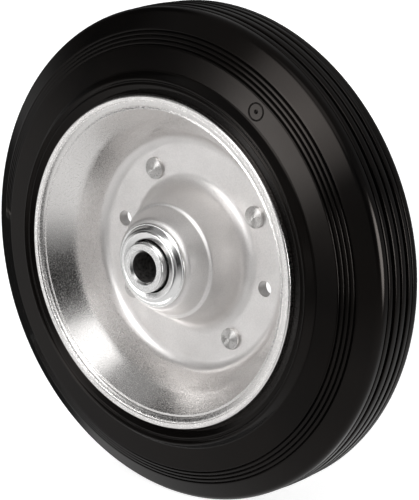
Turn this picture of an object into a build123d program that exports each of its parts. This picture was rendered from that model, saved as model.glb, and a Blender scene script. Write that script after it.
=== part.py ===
from build123d import *
import math
import os

# A 200 mm solid rubber wheel on a pressed steel rim that is riveted from two
# halves, turning on a caged roller bearing and an inner sleeve.
# The origin is the wheel's centre and the axle runs along Y. The side that
# carries the front dust cap faces -Y, and +Z is up.
# Sections are drawn as (radius, height), where height is the distance from
# the centre plane towards the front. The rear pieces mirror the front ones.
# The radii are set out from the sleeve to the tread, each as a width beyond
# the one inside it, so that a change of one moves everything outside it.

# Half the width of the rim, which the hub and the tyre follow
rim_half_width = 25.2

# Sleeve that the axle bolt clamps, and the hub tube round the rollers
sleeve_bore_radius = 6.1
sleeve_wall = 3.9
sleeve_past_rim = 7.5
sleeve_past_boss = 5.9
sleeve_bore_chamfer = 0.9
sleeve_edge_round = 0.6
hub_tube_wall = 1.4

# Caged roller bearing
roller_count = 12
roller_radius = 1.7
roller_end_round = 0.3
race_clearance = 0.1
pocket_clearance = 0.12
cage_wall = 2.2
cage_end_gap = 0.5
cage_end_bar = 2.9

# Dust cap and seal ring at each end of the hub
cap_overlap = 1.8
cap_rim_height = 1.0
cap_rim_width = 1.0
cap_rim_bend = 0.5
cap_crown_inset = 2.5
cap_crown_height = 3.3
cap_crown_bend = 2.4
cap_crown_fall = 0.5
cap_lip_bend = 0.6
cap_opening_gap = 0.65
cap_sheet = 0.9
cap_spigot_length = 3.4
seal_clearance = 0.15
seal_length = 2.4
seal_recess = 0.6

# Drawn boss of the rim half, from the hub tube out to the web
sheet = 2.5
boss_top_width = 3.0
boss_top_bend = 3.0
boss_neck_run = 5.2
boss_neck_drop = 8.4
ledge_width = 1.2
ledge_rise = 0.35
ledge_bend = 1.2
ledge_foot_bend = 1.0
boss_skirt_run = 5.8
boss_foot_bend = 5.8

# Web, bowl wall and flange of the rim half
web_width = 18.2
bowl_bend = 6.0
wall_run = 13.8
wall_belly = 1.6
wall_bend = 20.0
crease_bend = 0.4
flange_band = 3.4
flange_drop = 1.6
flange_bend = 3.0
lip_band = 2.4
lip_band_drop = 0.25
lip_edge_round = 0.8
pressed_line_width = 0.7
pressed_line_depth = 0.2

# Rivets and holes in the web
rivet_offset = 8.5
rivet_count = 4
rivet_start_angle = 31.9
rivet_shank_radius = 3.0
rivet_head_radius = 4.4
rivet_head_height = 1.6
rivet_head_dome = 0.25
rivet_head_round = 0.4
web_hole_radius = 3.2
web_hole_angle = -13.0
web_hole_count = 2

# Tyre bead against the lip: widths outwards, and drops from the rim's width
bead_start_width = 0.9
bead_start_drop = 2.6
bead_band_width = 3.1
bead_band_drop = 1.3
bead_band_bend = 0.8
bead_line_width = 0.9
bead_line_drop = 2.0
bead_line_bend = 0.5
bead_rib_width = 1.5
bead_rib_drop = 0.5
bead_rib_bend = 0.8
bead_foot_width = 2.4
bead_foot_drop = 4.5
bead_foot_bend = 1.0

# Tyre sidewall, with fine grooves that leave off along one plain pad
sidewall_width = 9.6
groove_zone_drop = 5.4
groove_zone_bend = 2.0
groove_zone_width = 6.8
shoulder_foot_drop = 9.1
wall_groove_count = 4
wall_groove_start = 0.7
wall_groove_pitch = 1.68
wall_groove_width = 1.05
wall_groove_depth = 0.65
pad_start_angle = 176.5
pad_arc = 36.5

# Tyre shoulder and tread: a groove in the middle, then a wide and a fine pair
shoulder_width = 8.0
shoulder_drop = 13.4
shoulder_bend = 4.0
crown_drop = 0.5
centre_groove_width = 1.3
wide_groove_offset = 4.2
wide_groove_width = 1.9
tread_groove_depth = 1.3
fine_groove_offset = 7.6
fine_groove_width = 0.7
fine_groove_depth = 0.6
groove_taper = 0.7

# Hub sizes that follow from the sizes above
sleeve_radius = sleeve_bore_radius + sleeve_wall
sleeve_half_length = rim_half_width + sleeve_past_rim
race_radius = sleeve_radius + 2 * roller_radius + 2 * race_clearance
pitch_radius = sleeve_radius + race_clearance + roller_radius
hub_tube_radius = race_radius + hub_tube_wall
boss_top_height = sleeve_half_length - sleeve_past_boss
cap_radius = hub_tube_radius + cap_overlap
cap_crown_radius = cap_radius - cap_crown_inset
cap_opening_radius = sleeve_radius + cap_opening_gap
spigot_inner_radius = race_radius - cap_sheet
seal_outer_height = boss_top_height - seal_recess
seal_inner_height = seal_outer_height - seal_length
cage_half_length = min(seal_inner_height, boss_top_height - cap_spigot_length) - cage_end_gap
roller_length = 2 * (cage_half_length - cage_end_bar)

# Rim sizes that follow
boss_top_radius = hub_tube_radius + boss_top_width
ledge_radius = boss_top_radius + boss_neck_run
ledge_height = boss_top_height - boss_neck_drop
boss_foot_radius = ledge_radius + boss_skirt_run
rivet_circle_radius = boss_foot_radius + rivet_offset
bowl_corner_radius = boss_foot_radius + web_width
crease_radius = bowl_corner_radius + wall_run
lip_band_radius = crease_radius + flange_band
lip_radius = lip_band_radius + lip_band
lip_band_height = rim_half_width - lip_band_drop
crease_height = lip_band_height - flange_drop
wall_mid_radius = (bowl_corner_radius + crease_radius) / 2
wall_mid_height = (sheet + crease_height) / 2 + wall_belly
flange_slope = math.atan2(flange_drop, flange_band)

# Tyre sizes that follow, up to the tread at a radius of 100 mm
bead_start_radius = lip_radius + bead_start_width
bead_band_radius = bead_start_radius + bead_band_width
bead_line_radius = bead_band_radius + bead_line_width
bead_rib_radius = bead_line_radius + bead_rib_width
bead_foot_radius = bead_rib_radius + bead_foot_width
groove_zone_inner_radius = bead_foot_radius + sidewall_width
groove_zone_outer_radius = groove_zone_inner_radius + groove_zone_width
tyre_radius = groove_zone_outer_radius + shoulder_width
groove_zone_slope = math.atan2(groove_zone_drop - shoulder_foot_drop, groove_zone_width)

# Angles about the axle, from +X towards +Z
rivet_angles = [rivet_start_angle + 360 / rivet_count * i for i in range(rivet_count)]
web_hole_angles = [web_hole_angle + 360 / web_hole_count * i for i in range(web_hole_count)]
roller_angles = [360 / roller_count * i for i in range(roller_count)]


def in_section(points):
    """Place (radius, height) points in the XY plane, with the front at -Y."""
    return [(radius, -height) for radius, height in points]


def ring(points, arc=360):
    """Solid of revolution about the axle from one closed outline."""
    outline = Polyline(*in_section(points), close=True)
    return revolve(make_face(outline), axis=Axis.Y, revolution_arc=arc)


def cylinder(radius, bottom, top):
    """Cylinder along the axle between two heights, the front one last."""
    return ring([(0, bottom), (radius, bottom), (radius, top), (0, top)])


def v_cutter(radius, height, slope, width, depth, arc=360):
    """Ring that cuts a V line square to a face of this slope at one place."""
    across = (math.cos(slope) * width, math.sin(slope) * width)
    out = (-math.sin(slope) * depth, math.cos(slope) * depth)
    points = [
        (radius - out[0], height - out[1]),
        (radius + across[0] + out[0], height + across[1] + out[1]),
        (radius - across[0] + out[0], height - across[1] + out[1]),
    ]
    return ring(points, arc)


def at_angle(shape, angle, radius=0):
    """Move a shape out along +X, then turn it about the axle towards +Z."""
    return Rot(0, -angle, 0) * Pos(radius, 0, 0) * shape


def rear(shape):
    """The same piece on the rear side of the centre plane."""
    return mirror(shape, about=Plane.XZ)


def both(shape):
    """A front cutter together with its rear twin."""
    return [shape, rear(shape)]


def rim_line():
    """Seen face of the pressed half, from the hub tube out to the lip."""
    corners = [
        (hub_tube_radius, boss_top_height),
        (boss_top_radius, boss_top_height),
        (ledge_radius - ledge_width, ledge_height + ledge_rise),
        (ledge_radius, ledge_height),
        (boss_foot_radius, sheet),
        (bowl_corner_radius, sheet),
        (wall_mid_radius, wall_mid_height),
        (crease_radius, crease_height),
        (lip_band_radius, lip_band_height),
        (lip_radius, rim_half_width),
    ]
    bends = [
        boss_top_bend,
        ledge_foot_bend,
        ledge_bend,
        boss_foot_bend,
        bowl_bend,
        wall_bend,
        crease_bend,
        flange_bend,
    ]
    return FilletPolyline(*in_section(corners), radius=bends)


def rim_section():
    """Sheet between the seen face and the face that carries the tyre."""
    face = make_face(offset(rim_line(), amount=sheet, side=Side.LEFT, closed=True))
    lip_edge = face.vertices().sort_by_distance((lip_radius, -rim_half_width))[0]
    return fillet(lip_edge, lip_edge_round)


def space_in_front_of_rim():
    """Section of the open bowl in front of the seen face."""
    line = rim_line()
    far = -2 * rim_half_width
    back = Polyline(line @ 1, (lip_radius, far), (hub_tube_radius, far), line @ 0)
    return make_face(line.edges() + back.edges())


def tyre_section():
    """Half of the rubber's section, cut to the outside of the rim half."""
    corners = [
        (tyre_radius, 0),
        (tyre_radius - crown_drop, rim_half_width - shoulder_drop),
        (groove_zone_outer_radius, rim_half_width - shoulder_foot_drop),
        (groove_zone_inner_radius, rim_half_width - groove_zone_drop),
        (bead_foot_radius, rim_half_width - bead_foot_drop),
        (bead_rib_radius, rim_half_width - bead_rib_drop),
        (bead_line_radius, rim_half_width - bead_line_drop),
        (bead_band_radius, rim_half_width - bead_band_drop),
        (bead_start_radius, rim_half_width - bead_start_drop),
    ]
    bends = [
        shoulder_bend,
        groove_zone_bend,
        groove_zone_bend,
        bead_foot_bend,
        bead_rib_bend,
        bead_line_bend,
        bead_band_bend,
    ]
    side = FilletPolyline(*in_section(corners), radius=bends)
    inside = in_section([(bowl_corner_radius, rim_half_width - bead_start_drop), (bowl_corner_radius, 0)])
    closing = Polyline(side @ 1, *inside, side @ 0)
    half = make_face(side.edges() + closing.edges())
    return half - rim_section() - space_in_front_of_rim()


def wall_groove(offset_from_zone):
    """V groove cut square to the sloping sidewall, all but the plain pad."""
    radius = groove_zone_inner_radius + offset_from_zone
    height = rim_half_width - groove_zone_drop + offset_from_zone * math.tan(groove_zone_slope)
    width = wall_groove_width
    cutter = v_cutter(radius, height, groove_zone_slope, width, wall_groove_depth, 360 - pad_arc)
    return at_angle(cutter, pad_start_angle)


def tread_groove(offset_from_centre, width, depth):
    """Tapered groove round the tread."""
    floor = width * groove_taper / 2
    mouth = width - floor
    return ring(
        [
            (tyre_radius - crown_drop - depth, offset_from_centre - floor),
            (tyre_radius + depth, offset_from_centre - mouth),
            (tyre_radius + depth, offset_from_centre + mouth),
            (tyre_radius - crown_drop - depth, offset_from_centre + floor),
        ]
    )


def make_tyre():
    half = tyre_section()
    tyre = revolve(half + mirror(half, about=Plane.XZ), axis=Axis.Y)
    cutters = [tread_groove(0, centre_groove_width, tread_groove_depth)]
    cutters += both(tread_groove(wide_groove_offset, wide_groove_width, tread_groove_depth))
    cutters += both(tread_groove(fine_groove_offset, fine_groove_width, fine_groove_depth))
    for index in range(wall_groove_count):
        cutters += both(wall_groove(wall_groove_start + wall_groove_pitch * index))
    return tyre - cutters


def pressed_line(radius, height):
    """Fine line where the press tool leaves one band of the flange."""
    return v_cutter(radius, height, flange_slope, pressed_line_width, pressed_line_depth)


def make_rim_half():
    half = revolve(rim_section(), axis=Axis.Y)
    rivet_hole = cylinder(rivet_shank_radius, -sheet, 2 * sheet)
    web_hole = cylinder(web_hole_radius, -sheet, 2 * sheet)
    cutters = [at_angle(rivet_hole, angle, rivet_circle_radius) for angle in rivet_angles]
    cutters += [at_angle(web_hole, angle, rivet_circle_radius) for angle in web_hole_angles]
    cutters.append(pressed_line(crease_radius, crease_height))
    cutters.append(pressed_line(lip_band_radius, lip_band_height))
    return half - cutters


def make_rivet():
    """One rivet on the axle, with the same low domed head at each end."""
    edge_height = sheet + rivet_head_height - rivet_head_dome
    top_height = sheet + rivet_head_height
    edge = (rivet_head_radius, -edge_height)
    top = (0, -top_height)
    dome = TangentArc(top, edge, tangent=(1, 0))
    rest = Polyline(
        edge,
        (rivet_head_radius, -sheet),
        (rivet_shank_radius, -sheet),
        (rivet_shank_radius, 0),
        (0, 0),
        top,
    )
    half = revolve(make_face(dome.edges() + rest.edges()), axis=Axis.Y)
    head_edge = half.edges().sort_by_distance(edge)[0]
    half = fillet(head_edge, rivet_head_round)
    return half + rear(half)


def make_dust_cap():
    """Domed ring whose rim lies on the boss and whose spigot fits the tube."""
    base = boss_top_height
    lip_height = base + cap_crown_height - cap_crown_fall
    corners = [
        (cap_radius, base),
        (cap_radius, base + cap_rim_height),
        (cap_radius - cap_rim_width, base + cap_rim_height),
        (cap_crown_radius, base + cap_crown_height),
        (cap_opening_radius, lip_height),
        (cap_opening_radius, lip_height - 2 * cap_sheet),
    ]
    bends = [cap_rim_bend, cap_rim_bend, cap_crown_bend, cap_lip_bend]
    top = FilletPolyline(*in_section(corners), radius=bends)
    under = in_section(
        [
            (spigot_inner_radius, lip_height - 2 * cap_sheet),
            (spigot_inner_radius, base - cap_spigot_length),
            (race_radius, base - cap_spigot_length),
            (race_radius, base),
        ]
    )
    closing = Polyline(top @ 1, *under, top @ 0)
    return revolve(make_face(top.edges() + closing.edges()), axis=Axis.Y)


def make_seal_ring():
    """Rubber ring pressed into the cap's spigot, clear of the sleeve."""
    inner = sleeve_radius + seal_clearance
    middle = (inner + spigot_inner_radius) / 2
    return ring(
        [
            (inner, seal_outer_height),
            (inner, seal_inner_height),
            (spigot_inner_radius, seal_inner_height),
            (spigot_inner_radius, seal_outer_height),
            (middle, seal_outer_height - seal_length / 3),
        ]
    )


def make_hub_tube():
    tube = cylinder(hub_tube_radius, -boss_top_height, boss_top_height)
    return tube - cylinder(race_radius, -boss_top_height, boss_top_height)


def make_sleeve():
    tube = cylinder(sleeve_radius, -sleeve_half_length, sleeve_half_length)
    tube -= cylinder(sleeve_bore_radius, -sleeve_half_length, sleeve_half_length)
    mouths = tube.edges().filter_by(GeomType.CIRCLE).sort_by(SortBy.RADIUS)[:2]
    tube = chamfer(mouths, sleeve_bore_chamfer)
    ends = tube.edges().filter_by(GeomType.CIRCLE).sort_by(SortBy.RADIUS)[-2:]
    return fillet(ends, sleeve_edge_round)


def make_roller():
    """One roller at the pitch radius on +X."""
    roller = cylinder(roller_radius, -roller_length / 2, roller_length / 2)
    roller = fillet(roller.edges().filter_by(GeomType.CIRCLE), roller_end_round)
    return Pos(pitch_radius, 0, 0) * roller


def make_cage():
    """Tube with one open pocket for each roller."""
    cage = cylinder(pitch_radius + cage_wall / 2, -cage_half_length, cage_half_length)
    cage -= cylinder(pitch_radius - cage_wall / 2, -cage_half_length, cage_half_length)
    pocket_length = roller_length + 2 * pocket_clearance
    pocket_width = 2 * (roller_radius + pocket_clearance)
    pocket = Box(2 * cage_wall, pocket_length, pocket_width)
    return cage - [at_angle(pocket, angle, pitch_radius) for angle in roller_angles]


def save(shape, name):
    export_step(shape, f"parts/{name}.step")


os.makedirs("parts", exist_ok=True)

rim_front = make_rim_half()
rivets = [at_angle(make_rivet(), angle, rivet_circle_radius) for angle in rivet_angles]
dust_cap_front = make_dust_cap()
seal_ring_front = make_seal_ring()

save(make_tyre(), "tyre")
save(rim_front, "rim_front")
save(rear(rim_front), "rim_rear")
save(Compound(rivets), "rim_rivets")
save(make_hub_tube(), "hub_tube")
save(dust_cap_front, "dust_cap_front")
save(rear(dust_cap_front), "dust_cap_rear")
save(seal_ring_front, "seal_ring_front")
save(rear(seal_ring_front), "seal_ring_rear")
save(make_cage(), "roller_cage")
for number, angle in enumerate(roller_angles, start=1):
    save(at_angle(make_roller(), angle), f"roller_{number:02d}")
save(make_sleeve(), "inner_sleeve")
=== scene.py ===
# %% [markdown]
# # A solid rubber wheel on a riveted steel rim
# The wheel is a barrow and trolley wheel: a moulded rubber tyre on a rim that is pressed from two steel
# halves and riveted, with a roller bearing in its hub. Its shapes are true already, so this lesson gives
# them their surfaces, and makes the round parts again where flat facets would show in the polish.
# The frame is loaded first. It holds every part at its place, in metres, with the axle along Y and the
# seen side of the wheel towards -Y.

# %% Load the frame
import math

import bpy
from mathutils import Matrix, Vector


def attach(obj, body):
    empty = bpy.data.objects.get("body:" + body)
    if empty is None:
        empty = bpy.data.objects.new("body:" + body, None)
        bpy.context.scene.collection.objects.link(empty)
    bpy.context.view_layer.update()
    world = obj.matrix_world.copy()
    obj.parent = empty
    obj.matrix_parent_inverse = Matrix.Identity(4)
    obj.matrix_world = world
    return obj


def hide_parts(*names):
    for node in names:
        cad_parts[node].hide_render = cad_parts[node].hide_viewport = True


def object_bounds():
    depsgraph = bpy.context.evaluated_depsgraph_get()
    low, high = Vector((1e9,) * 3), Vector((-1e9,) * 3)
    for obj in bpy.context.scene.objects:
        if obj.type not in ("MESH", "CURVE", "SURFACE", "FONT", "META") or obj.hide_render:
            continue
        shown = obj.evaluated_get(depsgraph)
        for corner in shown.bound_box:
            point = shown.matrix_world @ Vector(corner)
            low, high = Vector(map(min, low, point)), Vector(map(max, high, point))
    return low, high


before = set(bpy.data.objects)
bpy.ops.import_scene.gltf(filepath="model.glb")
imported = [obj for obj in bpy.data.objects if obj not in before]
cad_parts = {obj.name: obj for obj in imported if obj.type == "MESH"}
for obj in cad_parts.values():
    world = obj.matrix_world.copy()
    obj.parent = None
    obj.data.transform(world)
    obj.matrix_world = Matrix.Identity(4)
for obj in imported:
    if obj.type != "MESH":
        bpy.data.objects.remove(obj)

cad_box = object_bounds()
MM = 0.001
print("nodes:", len(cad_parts), "box:", [tuple(corner) for corner in cad_box])

# %% [markdown]
# ## Directions round the wheel
# Everything that lights the wheel is placed by two angles, as a photographer walks round a table. That
# is easier to change than a position in metres. An azimuth of 0 stands straight in front of the dished
# side, and it grows towards the wheel's left side as the camera sees it. The elevation is the height
# above the axle.

# %% Directions
def direction(azimuth, elevation):
    """Unit vector from the wheel's centre towards a place round it."""
    around = math.radians(azimuth)
    above = math.radians(elevation)
    flat = math.cos(above)
    return Vector((-math.sin(around) * flat, -math.cos(around) * flat, math.sin(above)))


print("in front:", tuple(direction(0, 0)))

# %% [markdown]
# ## The camera
# The wheel is seen from the right and a little from above, from about four and a half wheel diameters
# away, with a long lens. A constraint could keep the camera on the wheel, but a turn that is worked out
# once is simpler. The camera stands on the line through a target point near the hub and looks straight
# at that point, so the picture needs no shift. Its own axes give the target's place: so far to the right
# and so far up from a point in the plane of the rim's edge.

# %% Camera
CAMERA_AZIMUTH = -40.19
CAMERA_ELEVATION = 14.68
CAMERA_DISTANCE = 907.3 * MM
LENS = 166.7
FILM_WIDTH = 36
FAR_LIMIT = 100
LIP_PLANE = Vector((0, -25.18, 0)) * MM
TARGET_RIGHT = 21.06 * MM
TARGET_UP = 5.50 * MM

towards_camera = direction(CAMERA_AZIMUTH, CAMERA_ELEVATION)
camera_right = Vector((0, 0, 1)).cross(towards_camera).normalized()
camera_up = towards_camera.cross(camera_right)
target = LIP_PLANE + camera_right * TARGET_RIGHT + camera_up * TARGET_UP

bpy.ops.object.select_all(action="DESELECT")
bpy.ops.object.camera_add(
    location=target + towards_camera * CAMERA_DISTANCE,
    rotation=towards_camera.to_track_quat("Z", "Y").to_euler(),
)
camera = bpy.context.object
camera.name = "camera"
camera.data.lens = LENS
camera.data.sensor_width = FILM_WIDTH
camera.data.clip_end = FAR_LIMIT
bpy.context.scene.camera = camera
bpy.context.scene.view_settings.view_transform = "Standard"
print("camera at", tuple(camera.location))

# %% [markdown]
# ## Helpers for node trees
# A material is a small graph of nodes. Clicking it together by hand is quick once, but here nine
# materials share the same habits. One helper adds a node and fills its inputs, either with a plain value
# or with the output of another node, so that each material below reads from top to bottom. Another
# does the same for a sum or a product.

# %% Node helpers
def fill(tree, socket, value):
    """Link an output to an input, or write a plain value on it."""
    if isinstance(value, bpy.types.NodeSocket):
        tree.links.new(value, socket)
    else:
        socket.default_value = value


def add_node(tree, kind, inputs=None, **settings):
    """Add a node, set its own settings and then fill its named inputs."""
    node = tree.nodes.new(kind)
    for name, value in settings.items():
        setattr(node, name, value)
    for name, value in (inputs or {}).items():
        fill(tree, node.inputs[name], value)
    return node


def calculate(tree, operation, *values, clamp=False):
    """Output of one Math node."""
    node = add_node(tree, "ShaderNodeMath", operation=operation, use_clamp=clamp)
    for socket, value in zip(node.inputs, values):
        fill(tree, socket, value)
    return node.outputs["Value"]


print("node helpers ready")

# %% [markdown]
# ## Blends and masks
# Most of what a finish needs is a blend: dark to light, smooth to rough, inside a patch or outside it. A
# Colour Ramp could do it, but its stops are awkward to set in code. Mix and Map Range take plain values.
# A Mix node has one set of sockets for each kind of value, all with the same names, so its sockets are
# picked by their place in the list.

# %% Blend helpers
MIX_FACTOR = 0
MIX_COLOURS = (6, 7)
MIXED_COLOUR = 2
MIX_NUMBERS = (2, 3)
MIXED_NUMBER = 0


def blend_colours(tree, factor, first, second):
    """Colour that goes from the first to the second as the factor goes from 0 to 1."""
    node = add_node(tree, "ShaderNodeMix", data_type="RGBA")
    fill(tree, node.inputs[MIX_FACTOR], factor)
    for place, colour in zip(MIX_COLOURS, (first, second)):
        plain = isinstance(colour, tuple)
        fill(tree, node.inputs[place], (*colour, 1) if plain else colour)
    return node.outputs[MIXED_COLOUR]


def blend_numbers(tree, factor, first, second):
    """Number that goes from the first to the second as the factor goes from 0 to 1."""
    node = add_node(tree, "ShaderNodeMix", data_type="FLOAT")
    fill(tree, node.inputs[MIX_FACTOR], factor)
    for place, number in zip(MIX_NUMBERS, (first, second)):
        fill(tree, node.inputs[place], number)
    return node.outputs[MIXED_NUMBER]


def spread(tree, mask, low, high):
    """Value that goes from low to high as a mask goes from 0 to 1."""
    node = add_node(tree, "ShaderNodeMapRange", {"Value": mask, "To Min": low, "To Max": high})
    return node.outputs["Result"]


def ramp(tree, value, start, end, shape="LINEAR"):
    """Mask that is 0 at the start value and 1 at the end value."""
    node = add_node(
        tree,
        "ShaderNodeMapRange",
        {"Value": value, "From Min": start, "From Max": end},
        interpolation_type=shape,
    )
    return node.outputs["Result"]


def seen_by_camera(tree):
    """1 for a ray from the camera, straight or through something clear, and 0 for any other ray."""
    ray = add_node(tree, "ShaderNodeLightPath")
    return calculate(
        tree, "ADD", ray.outputs["Is Camera Ray"], ray.outputs["Is Transmission Ray"], clamp=True
    )


print("blend helpers ready")

# %% [markdown]
# ## The floor
# A plain pale floor carries the wheel's shadow. A real paper floor under strong lights turns pure white
# in the picture, but such lights would burn out the metal. So the lamps stay soft here, and the floor
# adds a glow of its own to what the camera sees of it. Light Path tells the camera's rays from the ones
# that light the wheel, so the glow throws no light on the rubber, and the shadow stays. Mirror rays pass
# through the paper, so that the metal and the rubber show the room of the next step, below them as well
# as above.

# %% Floor
FLOOR_SIZE = 40
FLOOR_COLOUR = (0.8, 0.8, 0.8, 1)
FLOOR_GLOW = 0.78

bpy.ops.object.select_all(action="DESELECT")
bpy.ops.mesh.primitive_plane_add(size=FLOOR_SIZE, location=(0, 0, cad_box[0].z))
floor = bpy.context.object
floor.name = "floor"
bpy.ops.object.transform_apply(location=True, rotation=False, scale=False)

paper = bpy.data.materials.new("white_paper")
paper.use_nodes = True
tree = paper.node_tree
tree.nodes.clear()
glow = calculate(tree, "MULTIPLY", seen_by_camera(tree), FLOOR_GLOW)
paper_face = add_node(tree, "ShaderNodeBsdfDiffuse", {"Color": FLOOR_COLOUR})
paper_glow = add_node(tree, "ShaderNodeEmission", {"Strength": glow})
both_layers = add_node(tree, "ShaderNodeAddShader", {0: paper_face.outputs[0], 1: paper_glow.outputs[0]})
mirrored = add_node(tree, "ShaderNodeLightPath").outputs["Is Glossy Ray"]
clear = add_node(tree, "ShaderNodeBsdfTransparent")
open_to_mirrors = add_node(
    tree, "ShaderNodeMixShader", {0: mirrored, 1: both_layers.outputs[0], 2: clear.outputs[0]}
)
add_node(tree, "ShaderNodeOutputMaterial", {"Surface": open_to_mirrors.outputs[0]})
floor.data.materials.append(paper)
print("floor at", cad_box[0].z)

# %% [markdown]
# ## The room that the metal mirrors
# Bare metal shows little of its own: it shows the room, and black rubber shows only the room's lights.
# A picture of a real studio could stand round the wheel, but then no light could be moved by itself. So
# the world is a grey room with soft round patches, each given by its direction, its inner and outer
# reach in degrees, and its level. Each one lies over the ones before it.
# A broad white sweep at the front left fills the flat web. A light high in front draws the sheen on the
# tyre's shoulder and the white stretch low on the flange, and one high on the right whitens the lower
# left of the bowl. A small light low on the left draws the sheen down the sidewall, and one far to the
# right draws the bright line along the tread. Dim walls between them draw the dark bands in the bowl.
# The camera sees plain white past the floor.

# %% World
ROOM_LEVEL = 0.34
WHITE = (1, 1, 1, 1)
PATCHES = [
    ("below", 0, -90, 52, 78, 0.98),
    ("left", 72, -20, 20, 32, 1.0),
    ("rear left", 126, -12, 28, 34, 0.03),
    ("front sweep", 45, -16, 8, 19, 1.1),
    ("high left", 86, 34, 16, 30, 0.04),
    ("dark front left", 46, 8, 9, 17, 0.05),
    ("under the camera", 14, -19, 5, 13, 0.08),
    ("beside the camera", -7, -14, 5, 13, 0.03),
    ("right screen", -58, 11, 10, 26, 0.02),
    ("high right", -36, 51, 7, 22, 1.9),
    ("front light", 0, 26, 5, 22, 6.0),
    ("side light", 31, -6, 2, 6, 9.5),
    ("right edge light", -104, 2, 11, 22, 16.0),
]

world = bpy.data.worlds.new("room")
bpy.context.scene.world = world
world.use_nodes = True
tree = world.node_tree
tree.nodes.clear()
look = add_node(tree, "ShaderNodeTexCoord").outputs["Generated"]
level = ROOM_LEVEL
for name, azimuth, elevation, inner, outer, patch_level in PATCHES:
    towards = add_node(
        tree, "ShaderNodeVectorMath", {0: look, 1: direction(azimuth, elevation)}, operation="DOT_PRODUCT"
    )
    far = math.cos(math.radians(outer))
    near = math.cos(math.radians(inner))
    inside = ramp(tree, towards.outputs["Value"], far, near, shape="SMOOTHSTEP")
    level = blend_numbers(tree, inside, level, patch_level)
room = add_node(tree, "ShaderNodeBackground", {"Strength": level})
white = add_node(tree, "ShaderNodeBackground", {"Color": WHITE, "Strength": 1})
choice = add_node(
    tree, "ShaderNodeMixShader", {0: seen_by_camera(tree), 1: room.outputs[0], 2: white.outputs[0]}
)
add_node(tree, "ShaderNodeOutputWorld", {"Surface": choice.outputs[0]})
print("world patches:", len(PATCHES))

# %% [markdown]
# ## The lamps
# The patches are far away and throw no shadow edges. Two softboxes near the wheel add those. The key
# stands in front, above the axle, and lifts the right of the boss and the tyre's upper right. The top
# one hangs high on the right and stays faint: it only gives the wheel's shadow on the floor some shape.
# A softbox is given the brightness of its face, and the lamp's power follows from that and its area, so
# it can be made larger without growing brighter in a mirror.

# %% Lamps
def add_softbox(name, azimuth, elevation, distance, width, height, brightness):
    """Oval lamp that faces the wheel from a place round it."""
    bpy.ops.object.select_all(action="DESELECT")
    place = direction(azimuth, elevation) * distance
    bpy.ops.object.light_add(
        type="AREA", location=place, rotation=(-place).to_track_quat("-Z", "Y").to_euler()
    )
    lamp = bpy.context.object
    lamp.name = name
    lamp.data.shape = "ELLIPSE"
    lamp.data.size = width
    lamp.data.size_y = height
    face_area = math.pi * width * height / 4
    lamp.data.energy = brightness * math.pi * face_area
    lamp.visible_camera = False
    print(name, "power:", round(lamp.data.energy, 3), "watts")


add_softbox("key", azimuth=0, elevation=26, distance=1.2, width=0.42, height=0.3, brightness=2.6)
add_softbox("top", azimuth=-25, elevation=62, distance=1.1, width=0.4, height=0.4, brightness=0.3)

# %% [markdown]
# ## Grain
# Plated steel and moulded rubber both have a fine grain and slow patches under it. Each could be painted
# as a picture, but a pattern that is worked out from the place on the part never runs out of detail and
# has no seams. One node group makes that mask. Each material sets how fine it is and how strongly it
# shows.

# %% Grain group
HALF = 0.5

grain = bpy.data.node_groups.new("surface_grain", "ShaderNodeTree")
for name, kind in (
    ("Vector", "NodeSocketVector"),
    ("Scale", "NodeSocketFloat"),
    ("Detail", "NodeSocketFloat"),
    ("Contrast", "NodeSocketFloat"),
):
    grain.interface.new_socket(name=name, in_out="INPUT", socket_type=kind)
grain.interface.new_socket(name="Mask", in_out="OUTPUT", socket_type="NodeSocketFloat")
given = add_node(grain, "NodeGroupInput")
noise = add_node(
    grain,
    "ShaderNodeTexNoise",
    {name: given.outputs[name] for name in ("Vector", "Scale", "Detail")},
)
centred = calculate(grain, "SUBTRACT", noise.outputs["Fac"], HALF)
stronger = calculate(grain, "MULTIPLY", centred, given.outputs["Contrast"])
mask = calculate(grain, "ADD", stronger, HALF, clamp=True)
add_node(grain, "NodeGroupOutput", {"Mask": mask})


def grain_mask(tree, vector, scale, detail=2.0, contrast=1.6):
    """Mask from 0 to 1 with so many grains to the metre."""
    node = add_node(
        tree,
        "ShaderNodeGroup",
        {"Vector": vector, "Scale": scale, "Detail": detail, "Contrast": contrast},
        node_tree=grain,
    )
    return node.outputs["Mask"]


print("group:", grain.name)

# %% [markdown]
# ## Turning marks
# The sleeve's end, the cap and the rivets' heads were turned or spun, which leaves rings round their
# centre, finer than the eye can count. They draw the light out into a streak across the centre. Cut as
# real grooves they would need a huge mesh, so they are a bump. The second group makes them: it takes
# the distance from the centre and the rings' spacing, and puts out a height from 0 to 1.

# %% Turning marks group
turning = bpy.data.node_groups.new("turning_marks", "ShaderNodeTree")
turning.interface.new_socket(name="Distance", in_out="INPUT", socket_type="NodeSocketFloat")
turning.interface.new_socket(name="Spacing", in_out="INPUT", socket_type="NodeSocketFloat")
turning.interface.new_socket(name="Height", in_out="OUTPUT", socket_type="NodeSocketFloat")
given = add_node(turning, "NodeGroupInput")
turns = calculate(turning, "DIVIDE", given.outputs["Distance"], given.outputs["Spacing"])
swing = calculate(turning, "SINE", calculate(turning, "MULTIPLY", turns, 2 * math.pi))
add_node(turning, "NodeGroupOutput", {"Height": calculate(turning, "MULTIPLY_ADD", swing, HALF, HALF)})


def turning_height(tree, distance, spacing):
    """Height of the rings at a distance from the centre."""
    node = add_node(
        tree, "ShaderNodeGroup", {"Distance": distance, "Spacing": spacing}, node_tree=turning
    )
    return node.outputs["Height"]


print("group:", turning.name)

# %% [markdown]
# ## Starting and finishing a material
# Every material has one Principled shader. What is the same all over a surface is written on the
# shader's own sockets, and what changes over it comes from the two groups. Patterns read the place on
# the part itself, so they turn with the wheel. Most parts are round, so the distance from the axle is
# worth a helper too.

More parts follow.
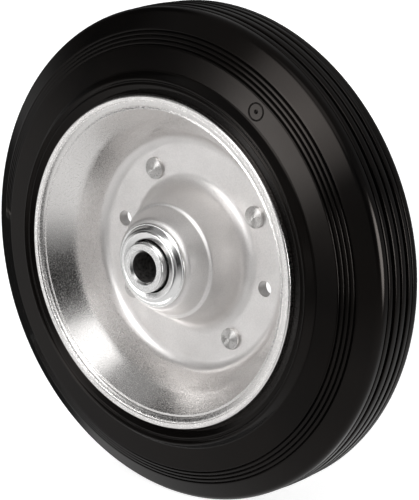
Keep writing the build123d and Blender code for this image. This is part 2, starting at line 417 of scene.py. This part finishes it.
# %% Material helpers
def new_material(name, constants):
    """Material with its tree, its shader and the place on the part that patterns read."""
    material = bpy.data.materials.new(name)
    material.use_nodes = True
    tree = material.node_tree
    shader = tree.nodes["Principled BSDF"]
    for socket, value in constants.items():
        shader.inputs[socket].default_value = value
    place = add_node(tree, "ShaderNodeTexCoord").outputs["Object"]
    return material, tree, shader, place


def length_of(tree, x, y):
    """Length of a flat offset."""
    offset = add_node(tree, "ShaderNodeCombineXYZ", {"X": x, "Y": y})
    length = add_node(tree, "ShaderNodeVectorMath", {0: offset.outputs["Vector"]}, operation="LENGTH")
    return length.outputs["Value"]


def distance_from_axle(tree, place):
    """Distance of a place from the wheel's axle."""
    parts = add_node(tree, "ShaderNodeSeparateXYZ", {"Vector": place})
    return length_of(tree, parts.outputs["X"], parts.outputs["Z"])


def coat(tree, shader, colour, roughness):
    """Give the shader its colour and its roughness."""
    tree.links.new(colour, shader.inputs["Base Color"])
    tree.links.new(roughness, shader.inputs["Roughness"])


def set_bump(tree, shader, height, strength, depth):
    """Give the shader a bump of a depth in metres."""
    bump = add_node(tree, "ShaderNodeBump", {"Height": height, "Strength": strength, "Distance": depth})
    tree.links.new(bump.outputs["Normal"], shader.inputs["Normal"])


def dress(material, *names):
    """Put a material on CAD nodes."""
    for name in names:
        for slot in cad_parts[name].material_slots:
            slot.material = material
    print(material.name, "on", ", ".join(names))


print("material helpers ready")

# %% [markdown]
# ## Tyre rubber
# Black rubber is nearly as dark as a picture can show, so its form is drawn by its sheen. A grey base
# would make it look dusty, so the base stays almost black, and a weak, slightly warm reflection does the
# work. The mould leaves a fine even grain, and the skin has slow, slightly brown patches where bloom has
# dulled it.

# %% Tyre rubber
RUBBER_SHINE = 0.15
RUBBER_WARMTH = (1.0, 0.90, 0.84, 1)
RUBBER_BLACK = (0.0013, 0.0013, 0.0014)
RUBBER_BLOOM = (0.0038, 0.0031, 0.0027)

rubber, tree, shader, place = new_material(
    "tyre_rubber", {"Specular IOR Level": RUBBER_SHINE, "Specular Tint": RUBBER_WARMTH}
)
bloom = grain_mask(tree, place, scale=28, detail=3.0, contrast=2.2)
skin = grain_mask(tree, place, scale=2600)
coat(
    tree,
    shader,
    colour=blend_colours(tree, bloom, RUBBER_BLACK, RUBBER_BLOOM),
    roughness=spread(tree, bloom, low=0.12, high=0.17),
)
set_bump(tree, shader, skin, strength=0.12, depth=0.02 * MM)
dress(rubber, "tyre")

# %% [markdown]
# ## Zinc plated steel
# The rim was pressed and then plated. Zinc is bright, with a fine crystal grain that breaks up the edge
# of every reflection, and slow waves where the sheet was drawn over the die. One roughness all over
# would look like paint, so it follows the tool: the web and the boss keep a satin skin, the bowl's wall
# was ironed smoother, and the roughness falls from one to the other. The lip's own round is finer than
# the grain, so the grain's height fades out before it.

# %% Zinc plated steel
WEB_RADIUS = 44 * MM
WALL_RADIUS = 53 * MM
LIP_RADIUS = 65.4 * MM
LIP_FADE = 1 * MM
WALL_ZINC = ((0.74, 0.720, 0.709), (0.86, 0.84, 0.826))
WEB_ZINC = ((0.68, 0.662, 0.652), (0.91, 0.888, 0.875))
WAVE_HEIGHT = 5.0

zinc, tree, shader, place = new_material("zinc_plated_steel", {"Metallic": 1.0})
cloud = grain_mask(tree, place, scale=60, detail=4.0, contrast=2.0)
crystal = grain_mask(tree, place, scale=2600, detail=1.5, contrast=3.0)
wave = grain_mask(tree, place, scale=110, detail=1.0, contrast=1.2)
radius = distance_from_axle(tree, place)
satin = ramp(tree, radius, WALL_RADIUS, WEB_RADIUS, shape="SMOOTHSTEP")
mottle = calculate(tree, "MULTIPLY", calculate(tree, "ADD", cloud, crystal), HALF)
wall_colour = blend_colours(tree, mottle, *WALL_ZINC)
web_colour = blend_colours(tree, mottle, *WEB_ZINC)
wall_roughness = spread(tree, crystal, low=0.14, high=0.34)
added_on_web = spread(tree, satin, low=0.0, high=0.24)
coat(
    tree,
    shader,
    colour=blend_colours(tree, satin, wall_colour, web_colour),
    roughness=calculate(tree, "ADD", wall_roughness, added_on_web),
)
ripple = calculate(tree, "MULTIPLY", wave, WAVE_HEIGHT)
inside_lip = ramp(tree, radius, LIP_RADIUS, LIP_RADIUS - LIP_FADE)
fine = calculate(tree, "MULTIPLY", crystal, inside_lip)
set_bump(tree, shader, calculate(tree, "ADD", ripple, fine), strength=1.0, depth=0.012 * MM)
dress(zinc, "rim_front", "rim_rear")

# %% [markdown]
# ## Rivets
# Each head was rolled flat under a turning tool, so rings run round its own centre. Four materials could
# each hold one centre, but the four heads share one node. Folding the place over into one quarter of the
# wheel finds the nearest centre for all of them: the wheel is turned until one rivet lies along X, and
# then the larger of the two lengths is the way out to the rivet's circle.

# %% Rivets
RIVET_CIRCLE = 37.5
RIVET_START = 31.9
RIVET_RINGS = 0.22 * MM
RIVET_GRAIN = 0.25
RIVET_ZINC = ((0.52, 0.51, 0.50), (0.64, 0.63, 0.62))

riveted, tree, shader, place = new_material("rivet_steel", {"Metallic": 1.0})
turned = add_node(
    tree,
    "ShaderNodeVectorRotate",
    {"Vector": place, "Angle": math.radians(RIVET_START)},
    rotation_type="Y_AXIS",
)
parts = add_node(tree, "ShaderNodeSeparateXYZ", {"Vector": turned.outputs["Vector"]})
across = calculate(tree, "ABSOLUTE", parts.outputs["X"])
along = calculate(tree, "ABSOLUTE", parts.outputs["Z"])
out = calculate(tree, "SUBTRACT", calculate(tree, "MAXIMUM", across, along), RIVET_CIRCLE * MM)
aside = calculate(tree, "MINIMUM", across, along)
rings = turning_height(tree, length_of(tree, out, aside), RIVET_RINGS)
crystal = grain_mask(tree, place, scale=1800, detail=3.0)
coat(
    tree,
    shader,
    colour=blend_colours(tree, crystal, *RIVET_ZINC),
    roughness=spread(tree, crystal, low=0.24, high=0.34),
)
faint = calculate(tree, "MULTIPLY", crystal, RIVET_GRAIN)
set_bump(tree, shader, calculate(tree, "ADD", rings, faint), strength=1.0, depth=0.034 * MM)
dress(riveted, "rim_rivets")

# %% [markdown]
# ## Dust caps
# The caps are drawn from thin bright sheet. They are the only real mirrors on the wheel, so they stay
# smooth, with faint rings from the tool. A roughness of 0 would look like glass, so a smear of handling
# keeps it a little above.

# %% Dust caps
CAP_RINGS = 0.35 * MM
CAP_PLATING = ((0.80, 0.795, 0.79), (0.86, 0.855, 0.85))

bright, tree, shader, place = new_material("bright_cap", {"Metallic": 1.0})
rings = turning_height(tree, distance_from_axle(tree, place), CAP_RINGS)
smear = grain_mask(tree, place, scale=420, detail=3.0)
coat(
    tree,
    shader,
    colour=blend_colours(tree, smear, *CAP_PLATING),
    roughness=spread(tree, smear, low=0.14, high=0.24),
)
set_bump(tree, shader, calculate(tree, "ADD", rings, smear), strength=0.1, depth=0.008 * MM)
dress(bright, "dust_cap_front", "dust_cap_rear")

# %% [markdown]
# ## Inner sleeve
# The sleeve is turned from tube and plated, and its bore is left oiled and dark. Two materials would
# need the bore's faces picked out, and one is enough: the mask for the bore is the distance from the
# axle, and everything nearer than a hair outside the bore belongs to it.

# %% Inner sleeve
BORE_RADIUS = 6.1 * MM
BORE_EDGE = 0.08 * MM
SLEEVE_RINGS = 0.3 * MM
OILED_STEEL = ((0.16, 0.155, 0.15), (0.55, 0.53, 0.52))
SLEEVE_PLATING = ((0.66, 0.655, 0.65), (0.74, 0.735, 0.73))

sleeve_steel, tree, shader, place = new_material("turned_sleeve", {"Metallic": 1.0})
radius = distance_from_axle(tree, place)
plated = ramp(tree, radius, BORE_RADIUS, BORE_RADIUS + BORE_EDGE)
spots = grain_mask(tree, place, scale=700, detail=3.0, contrast=2.4)
bore_colour = blend_colours(tree, spots, *OILED_STEEL)
end_colour = blend_colours(tree, spots, *SLEEVE_PLATING)
coat(
    tree,
    shader,
    colour=blend_colours(tree, plated, bore_colour, end_colour),
    roughness=spread(tree, plated, low=0.5, high=0.26),
)
rings = turning_height(tree, radius, SLEEVE_RINGS)
set_bump(tree, shader, calculate(tree, "ADD", rings, spots), strength=0.14, depth=0.015 * MM)
dress(sleeve_steel, "inner_sleeve")

# %% [markdown]
# ## Rollers and hub tube
# The rollers and the tube round them are ground and hardened, and share one finish. They show only when
# the wheel is taken apart, so a plain bright steel with a thin film of grease on it will do.

# %% Rollers and hub tube
GROUND_STEEL = ((0.58, 0.575, 0.57), (0.66, 0.655, 0.65))

ground, tree, shader, place = new_material("ground_steel", {"Metallic": 1.0})
film = grain_mask(tree, place, scale=900, detail=3.0)
coat(
    tree,
    shader,
    colour=blend_colours(tree, film, *GROUND_STEEL),
    roughness=spread(tree, film, low=0.14, high=0.26),
)
set_bump(tree, shader, film, strength=0.2, depth=0.004 * MM)
rollers = [name for name in sorted(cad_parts) if name.startswith("roller_")]
rollers.remove("roller_cage")
dress(ground, "hub_tube", *rollers)

# %% [markdown]
# ## Cage
# The cage is moulded in black nylon, with a soft gloss and the faint marks of the plastic's flow. The
# same grain as on the steel does for them, only coarser.

# %% Cage
NYLON_SHINE = 0.4
NYLON_BLACK = ((0.012, 0.012, 0.012), (0.022, 0.021, 0.021))

nylon, tree, shader, place = new_material("black_nylon", {"Specular IOR Level": NYLON_SHINE})
flow = grain_mask(tree, place, scale=300, detail=3.0)
coat(
    tree,
    shader,
    colour=blend_colours(tree, flow, *NYLON_BLACK),
    roughness=spread(tree, flow, low=0.4, high=0.55),
)
set_bump(tree, shader, flow, strength=0.2, depth=0.01 * MM)
dress(nylon, "roller_cage")

# %% [markdown]
# ## Seals
# The seals are soft rubber, duller than the tyre. The front one shows as a black line between the cap
# and the sleeve. A plain black would do for that, but a little grain keeps it from looking like a hole.

# %% Seals
SEAL_SHINE = 0.2
SEAL_BLACK = ((0.004, 0.004, 0.004), (0.009, 0.009, 0.009))

seal, tree, shader, place = new_material("seal_rubber", {"Specular IOR Level": SEAL_SHINE})
skin = grain_mask(tree, place, scale=1500)
coat(
    tree,
    shader,
    colour=blend_colours(tree, skin, *SEAL_BLACK),
    roughness=spread(tree, skin, low=0.5, high=0.65),
)
set_bump(tree, shader, skin, strength=0.3, depth=0.01 * MM)
dress(seal, "seal_ring_front", "seal_ring_rear")

# %% [markdown]
# ## Outlines with round corners
# The frame's meshes are made of flat facets, and a bright lip or a fine groove shows them. Five parts
# suffer most: the tyre, both rim halves and both dust caps. They could be smoothed with a modifier, but
# that would soften their edges. They are all round about the axle, so they are made again here, with the
# same sizes and even faces.
# Each one starts as a line of corners, given as the distance from the axle and the height towards the
# front, in millimetres. The first helper rounds every corner with its own radius. The others move a
# line sideways, to find the far side of a sheet.

# %% Corners and sheets
ARC_STEP = math.radians(5)
SMALL_BEND = 0.45
SMALL_STEPS = 3


def rounded(corners, bends):
    """Points along a line of corners, with an arc of its own radius at each inner corner."""
    corners = [Vector(corner) for corner in corners]
    points = [corners[0]]
    for before, corner, after, bend in zip(corners, corners[1:], corners[2:], bends):
        arriving = (corner - before).normalized()
        leaving = (after - corner).normalized()
        turn = math.atan2(arriving.cross(leaving), arriving.dot(leaving))
        start = corner - arriving * bend * math.tan(abs(turn) / 2)
        centre = start + Vector((-arriving.y, arriving.x)) * math.copysign(bend, turn)
        steps = math.ceil(abs(turn) / ARC_STEP)
        if bend < SMALL_BEND:
            steps = min(steps, SMALL_STEPS)
        if bend == 0:
            points.append(corner)
        else:
            for step in range(steps + 1):
                swing = Matrix.Rotation(turn * step / steps, 2)
                points.append(centre + swing @ (start - centre))
    points.append(corners[-1])
    return points


def shifted(corners, distance):
    """The same line of corners, moved to the right of its run by a distance."""
    corners = [Vector(corner) for corner in corners]
    runs = [(after - before).normalized() for before, after in zip(corners, corners[1:])]
    moved = []
    for corner, arriving, leaving in zip(corners, runs[:1] + runs, runs + runs[-1:]):
        right = Vector((arriving.y, -arriving.x))
        mitre = (right + Vector((leaving.y, -leaving.x))).normalized()
        moved.append(corner + mitre * distance / mitre.dot(right))
    return moved


def far_bends(corners, bends, distance):
    """Radii of the same corners on the far side of a sheet."""
    corners = [Vector(corner) for corner in corners]
    radii = []
    for before, corner, after, bend in zip(corners, corners[1:], corners[2:], bends):
        left_turn = (corner - before).cross(after - corner) > 0
        radii.append(bend + distance if left_turn else max(bend - distance, 0))
    return radii


print("arcs step every", round(math.degrees(ARC_STEP)), "degrees, small ones in", SMALL_STEPS, "steps")

# %% [markdown]
# ## Lines, flats and the rear side
# Three more helpers work on an outline. One gives the corners of a fine V line that a tool leaves. One
# guards the flats: smooth shading would let a bend's light bleed over the whole flat beside it, and a
# point near both ends of each long run stops it. The last one turns an outline round for the rear side.

# %% Lines and flats
LONG_RUN = 2.0
GUARD = 0.15


def notch(middle, slope, width, depth):
    """Three points of a V line: its near edge, its bottom and its far edge."""
    along = Vector((math.cos(slope), math.sin(slope)))
    outward = Vector((-along.y, along.x))
    middle = Vector(middle)
    return [middle - along * width / 2, middle - outward * depth, middle + along * width / 2]


def guarded(points):
    """Add a point near both ends of every long run."""
    result = [points[0]]
    for before, after in zip(points, points[1:]):
        run = after - before
        if run.length > LONG_RUN:
            result.append(before + run.normalized() * GUARD)
            result.append(after - run.normalized() * GUARD)
        result.append(after)
    return result


def turned_round(outline):
    """The same outline on the rear side."""
    return [Vector((point.x, -point.y)) for point in outline]


print("runs over", LONG_RUN, "mm are guarded")

# %% [markdown]
# ## Spinning an outline
# The outline is spun about the axle, as on a lathe. A Screw modifier could do it, but the spin operator
# shows each step. A plane, merged into one point, is the pencil: the point is extruded from place to
# place round the outline, and the spin carries the whole line round in small steps. Its last copy lands
# on the first, so the doubles are merged, and the faces are turned outwards.
# Blender takes the outward side from the farthest face, and on the tyre that is a groove's wall, which
# can mislead it. So the volume is summed as well, and a ring that comes out negative is flipped.

# %% Spinning
SPIN_STEPS = 240
MERGE_DISTANCE = 0.0005 * MM
SMOOTH_ANGLE = math.radians(32)


def draw_outline(name, outline):
    """Object whose mesh is one closed line of (distance from the axle, height) points."""
    places = [Vector((point.x, -point.y, 0)) * MM for point in guarded(outline)]
    bpy.ops.object.select_all(action="DESELECT")
    bpy.ops.mesh.primitive_plane_add(size=MM, location=(0, 0, 0))
    bpy.context.object.name = name
    bpy.ops.object.mode_set(mode="EDIT")
    bpy.ops.mesh.select_all(action="SELECT")
    bpy.ops.mesh.merge(type="CENTER")
    bpy.ops.transform.translate(value=places[0])
    for before, after in zip(places, places[1:]):
        bpy.ops.mesh.extrude_region_move(TRANSFORM_OT_translate={"value": after - before})
    bpy.ops.object.mode_set(mode="OBJECT")
    return bpy.context.object


def volume_of(piece):
    """Volume inside a closed mesh, which is negative where its faces point inwards."""
    return sum(face.center.dot(face.normal) * face.area for face in piece.data.polygons) / 3


def spin_outline(name, outline, material, node):
    """Ring from a closed outline, standing for one CAD node."""
    piece = draw_outline(name, outline)
    bpy.ops.object.mode_set(mode="EDIT")
    bpy.ops.mesh.select_all(action="SELECT")
    bpy.ops.mesh.spin(steps=SPIN_STEPS, angle=2 * math.pi, center=(0, 0, 0), axis=(0, 1, 0))
    bpy.ops.mesh.select_all(action="SELECT")
    bpy.ops.mesh.remove_doubles(threshold=MERGE_DISTANCE)
    bpy.ops.mesh.normals_make_consistent(inside=False)
    bpy.ops.object.mode_set(mode="OBJECT")
    if volume_of(piece) < 0:
        bpy.ops.object.mode_set(mode="EDIT")
        bpy.ops.mesh.select_all(action="SELECT")
        bpy.ops.mesh.flip_normals()
        bpy.ops.object.mode_set(mode="OBJECT")
    piece.data.materials.append(material)
    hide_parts(node)
    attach(piece, "wheel")
    print(name, "faces:", len(piece.data.polygons), "volume:", round(volume_of(piece) / MM ** 3), "mm3")
    return piece


def smooth(piece):
    """Shade a piece smooth up to its sharp edges."""
    bpy.ops.object.select_all(action="DESELECT")
    piece.select_set(True)
    bpy.context.view_layer.objects.active = piece
    bpy.ops.object.shade_smooth_by_angle(angle=SMOOTH_ANGLE)


print("spin steps:", SPIN_STEPS)

# %% [markdown]
# ## The pressed rim
# The outline of a rim half runs from the hub tube over the boss, the web, the bowl's wall and the flange
# to the lip, and back along the far side of the sheet. A real half is one disc of sheet that a press
# draws in steps, so one line with one thickness describes it all. Two fine lines are left by the press
# tool where the flange's bands meet. The inner one is a low crest with a valley behind it, which catches
# the light as a bright thread. The outer one is a plain V.

# %% Rim outline
SHEET = 2.5
RIM_CORNERS = [
    (15.0, 26.8),
    (18.0, 26.8),
    (22.0, 18.75),
    (23.2, 18.4),
    (29.0, 2.5),
    (47.2, 2.5),
    (54.1, 14.525),
    (61.0, 23.35),
    (64.4, 24.95),
    (66.8, 25.2),
]
RIM_BENDS = [3.0, 1.3, 1.3, 5.8, 6.0, 20.0, 0, 3.0]
CREST_AND_VALLEY = [(61.2, 23.62), (62.15, 23.42), (62.64, 24.12)]
CREST_BENDS = [0.15, 0.1, 0.15]
PRESS_LINE_WIDTH = 0.7
PRESS_LINE_DEPTH = 0.2
PRESS_LINE_BENDS = [0, 0, 0]
LIP_ROUND = 0.8

web_edge = RIM_CORNERS[5]
flange_start, flange_end, lip_end = RIM_CORNERS[7:]
flange_slope = math.atan2(flange_end[1] - flange_start[1], flange_end[0] - flange_start[0])
press_line = notch(flange_end, flange_slope, PRESS_LINE_WIDTH, PRESS_LINE_DEPTH)
seen_corners = [*RIM_CORNERS[:7], *CREST_AND_VALLEY, *press_line, lip_end]
seen_bends = [*RIM_BENDS[:6], *CREST_BENDS, *PRESS_LINE_BENDS]
back_corners = shifted(RIM_CORNERS, SHEET)
back_bends = far_bends(RIM_CORNERS, RIM_BENDS, SHEET)
rim_outline = rounded(
    [*seen_corners, *back_corners[::-1], seen_corners[0]],
    [*seen_bends, LIP_ROUND, 0, *back_bends[::-1], 0],
)
print("rim outline points:", len(rim_outline))

# %% [markdown]
# ## The holes in the web
# Both halves are spun from the same outline, and the rear one is the front one turned round. Each web
# then gets two open holes and four holes for the rivets. Cutting them with a cylinder and a Boolean
# modifier keeps the rest of the web's even faces as they are.

# %% Rim halves
WEB_HOLE_RADIUS = 3.2
WEB_HOLE_ANGLES = [-13.0, 167.0]
RIVET_HOLE_RADIUS = 3.0
RIVET_ANGLES = [RIVET_START + 90 * quarter for quarter in range(4)]
CUTTER_SIDES = 64
CUTTER_LENGTH = 20


def cut_hole(piece, angle, radius):
    """Cut one round hole through the web."""
    around = math.radians(angle)
    place = Vector((math.cos(around), 0, math.sin(around))) * RIVET_CIRCLE * MM
    bpy.ops.object.select_all(action="DESELECT")
    bpy.ops.mesh.primitive_cylinder_add(
        vertices=CUTTER_SIDES,
        radius=radius * MM,
        depth=CUTTER_LENGTH * MM,
        location=place,
        rotation=(math.pi / 2, 0, 0),
    )
    cutter = bpy.context.object
    bpy.ops.object.transform_apply(location=True, rotation=True, scale=True)
    bpy.context.view_layer.objects.active = piece
    hole = piece.modifiers.new("hole", "BOOLEAN")
    hole.object = cutter
    hole.operation = "DIFFERENCE"
    bpy.ops.object.modifier_apply(modifier=hole.name)
    bpy.data.objects.remove(cutter)


rims = [
    spin_outline("rim_surface_front", rim_outline, zinc, "rim_front"),
    spin_outline("rim_surface_rear", turned_round(rim_outline), zinc, "rim_rear"),
]
for rim in rims:
    for angle in WEB_HOLE_ANGLES:
        cut_hole(rim, angle, WEB_HOLE_RADIUS)
    for angle in RIVET_ANGLES:
        cut_hole(rim, angle, RIVET_HOLE_RADIUS)
    smooth(rim)
    print(rim.name, "faces with holes:", len(rim.data.polygons))

# %% [markdown]
# ## The dust caps
# The cap is a small ring of thin sheet: a flat brim on the boss, a round crown, and a spigot that goes
# down into the hub tube. It isn't of one thickness, as the rim is, so both of its sides are drawn in
# full.

# %% Dust caps as rings
CAP_CORNERS = [
    (16.8, 26.8),
    (16.8, 27.8),
    (15.8, 27.8),
    (14.3, 30.1),
    (10.65, 29.6),
    (10.65, 27.8),
    (12.7, 27.8),
    (12.7, 23.4),
    (13.6, 23.4),
    (13.6, 26.8),
    (16.8, 26.8),
]
CAP_BENDS = [0.5, 0.5, 2.4, 0.6, 0, 0, 0, 0, 0]

cap_outline = rounded(CAP_CORNERS, CAP_BENDS)
smooth(spin_outline("cap_surface_front", cap_outline, bright, "dust_cap_front"))
smooth(spin_outline("cap_surface_rear", turned_round(cap_outline), bright, "dust_cap_rear"))

# %% [markdown]
# ## The tread
# The tyre's outline starts in the middle of the tread and crosses its grooves. A moulded groove tapers
# towards its floor, so that the rubber comes out of the mould, and the ribs between the grooves are a
# trace rounder than flat. That crown is only a few hundredths of a millimetre, and it helps the light
# to draw a thread along a rib.

# %% Tread outline
TYRE_RADIUS = 100.0
CROWN_DROP = 0.5
SHOULDER_HEIGHT = 11.8
TREAD_GROOVES = [(0.0, 1.3, 1.3), (4.2, 1.9, 1.3), (7.6, 0.7, 0.6)]
GROOVE_TAPER = 0.7
TREAD_EDGE_BEND = 0.3
RIB_CROWN = 0.05
RIB_ROUND = 6.0


def tread_surface(height):
    """Radius of the slightly crowned tread."""
    return TYRE_RADIUS - CROWN_DROP * height / SHOULDER_HEIGHT


def tread_groove(centre, width, depth):
    """Corners of one tapered groove, from its inner edge to its outer edge."""
    floor_radius = TYRE_RADIUS - CROWN_DROP - depth
    floor_half = width * GROOVE_TAPER / 2
    rise = (tread_surface(centre) - floor_radius) / (CROWN_DROP + 2 * depth)
    mouth_half = floor_half + (width - 2 * floor_half) * rise
    return [
        (tread_surface(centre - mouth_half), centre - mouth_half),
        (floor_radius, centre - floor_half),
        (floor_radius, centre + floor_half),
        (tread_surface(centre + mouth_half), centre + mouth_half),
    ]


def rib_top(first, second):
    """Corner in the middle of a rib, a little above its two edges."""
    return (first[0] + second[0]) / 2 + RIB_CROWN, (first[1] + second[1]) / 2


tread_edge = (TYRE_RADIUS - CROWN_DROP, SHOULDER_HEIGHT)
grooves = [tread_groove(*sizes) for sizes in TREAD_GROOVES]
tread_corners = []
tread_bends = []
for groove, following in zip(grooves, grooves[1:] + [[tread_edge]]):
    tread_corners += [*groove, rib_top(groove[-1], following[0])]
    tread_bends += [TREAD_EDGE_BEND, 0, 0, TREAD_EDGE_BEND, RIB_ROUND]
# The wheel's middle plane runs along the first groove, so only the far half of that groove is kept.
groove_floor = grooves[0][2][0]
tread_corners = [(groove_floor, 0), *tread_corners[2:]]
tread_bends = tread_bends[2:]
print("tread corners to one side:", len(tread_corners))

# %% [markdown]
# ## The sidewall and the bead
# From the tread the outline comes down over the shoulder, a band with four fine V grooves and the bead
# to the lip. From there it follows the far side of the rim's sheet inwards, because the rubber sits
# tight on it. The other half mirrors it.

# %% Tyre as a ring
SHOULDER_BEND = 4.0
BAND_OUTER = (92.0, 16.1)
BAND_INNER = (85.2, 19.8)
BAND_OUTER_BEND = 2.0
BAND_INNER_BEND = 1.0
BAND_GROOVES = [90.94, 89.26, 87.58, 85.9]
BAND_GROOVE_WIDTH = 1.05
BAND_GROOVE_DEPTH = 0.65
BAND_GROOVE_EDGE = 0.16
BEAD_CORNERS = [(75.6, 20.7), (73.2, 24.7), (71.7, 23.2), (70.8, 23.9), (67.7, 22.6)]
BEAD_BENDS = [1.0, 0.8, 0.5, 0.8]
LIP_CONTACT = (66.0, 22.6)

band_slope = math.atan2(BAND_INNER[1] - BAND_OUTER[1], BAND_INNER[0] - BAND_OUTER[0]) + math.pi
band_run = Vector((math.cos(band_slope), math.sin(band_slope)))
tyre_corners = [*tread_corners, tread_edge, BAND_OUTER]
tyre_bends = [*tread_bends, SHOULDER_BEND, BAND_OUTER_BEND]
for radius in BAND_GROOVES:
    middle = Vector(BAND_INNER) + band_run * (radius - BAND_INNER[0]) / band_run.x
    tyre_corners += notch(middle, band_slope, BAND_GROOVE_WIDTH, BAND_GROOVE_DEPTH)[::-1]
    tyre_bends += [BAND_GROOVE_EDGE, 0, BAND_GROOVE_EDGE]
tyre_corners += [BAND_INNER, *BEAD_CORNERS, LIP_CONTACT]
tyre_bends += [BAND_INNER_BEND, *BEAD_BENDS, 0]
on_the_rim = [
    point
    for point in rounded(back_corners, back_bends)[::-1]
    if point.x > web_edge[0] and point.y < LIP_CONTACT[1]
]
tyre_half = rounded(tyre_corners, tyre_bends) + on_the_rim
tyre_outline = tyre_half + turned_round(tyre_half)[::-1]
tyre = spin_outline("tyre_surface", tyre_outline, rubber, "tyre")

# %% [markdown]
# ## The plain pad
# The fine grooves leave off along one plain pad on each side of the tyre. A patch laid over them would
# show its edge, so the grooves themselves are filled: inside the pad, every point that lies below the
# sidewall is lifted up to it.

# %% Plain pad
PAD_START = 176.5
PAD_ARC = 36.5

band_normal = Vector((-band_run.y, band_run.x))
lifted = 0
for vertex in tyre.data.vertices:
    around = (math.degrees(math.atan2(vertex.co.z, vertex.co.x)) - PAD_START) % 360
    section = Vector((math.hypot(vertex.co.x, vertex.co.z), abs(vertex.co.y))) / MM
    sunk = (section - Vector(BAND_INNER)).dot(band_normal)
    if around < PAD_ARC and BAND_INNER[0] < section.x < BAND_OUTER[0] and sunk < 0:
        raised = (section - band_normal * sunk) * MM
        turn = math.radians(around + PAD_START)
        side = math.copysign(raised.y, vertex.co.y)
        vertex.co = (raised.x * math.cos(turn), side, raised.x * math.sin(turn))
        lifted += 1
smooth(tyre)
print("points lifted:", lifted)

# %% [markdown]
# ## The mould's mark
# A mould often leaves a small round mark on a tyre's sidewall. Here it is a plain raised ring with a dot
# in it. It could be a bump, but it stands a third of a millimetre proud and catches the light on its own
# edge. So it is made as a piece: a thin torus laid on the sidewall's slope and sunk half into it, with a
# flat round dot in its middle.

# %% Mould mark
MARK_ANGLE = math.radians(55)
MARK_RADIUS = 80.4 * MM
MARK_HEIGHT = 20.25 * MM
MARK_RING = 3.3 * MM
MARK_LINE = 0.32 * MM
MARK_DOT = 0.9 * MM
RING_SIDES = 64
LINE_SIDES = 12
DOT_SIDES = 24
DOT_LAYERS = 12

below_band = BEAD_CORNERS[0]
wall_slope = math.atan2(below_band[1] - BAND_INNER[1], BAND_INNER[0] - below_band[0])
outward = Vector((math.cos(MARK_ANGLE), 0, math.sin(MARK_ANGLE)))
mark_place = outward * MARK_RADIUS + Vector((0, -MARK_HEIGHT, 0))
mark_normal = Vector((0, -math.cos(wall_slope), 0)) + outward * math.sin(wall_slope)
mark_turn = mark_normal.to_track_quat("Z", "Y").to_euler()

bpy.ops.object.select_all(action="DESELECT")
bpy.ops.mesh.primitive_torus_add(
    location=mark_place,
    rotation=mark_turn,
    major_segments=RING_SIDES,
    minor_segments=LINE_SIDES,
    major_radius=MARK_RING,
    minor_radius=MARK_LINE,
)
ring = bpy.context.object
bpy.ops.mesh.primitive_uv_sphere_add(
    location=mark_place, rotation=mark_turn, segments=DOT_SIDES, ring_count=DOT_LAYERS, radius=MARK_DOT
)
dot = bpy.context.object
dot.scale.z = MARK_LINE / MARK_DOT
bpy.ops.object.select_all(action="DESELECT")
dot.select_set(True)
ring.select_set(True)
bpy.context.view_layer.objects.active = ring
bpy.ops.object.join()
bpy.ops.object.transform_apply(location=True, rotation=True, scale=True)
bpy.ops.object.shade_smooth()
mould_mark = bpy.context.object
mould_mark.name = "mould_mark"
mould_mark.data.materials.append(rubber)
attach(mould_mark, "wheel")
print("mould mark faces:", len(mould_mark.data.polygons))
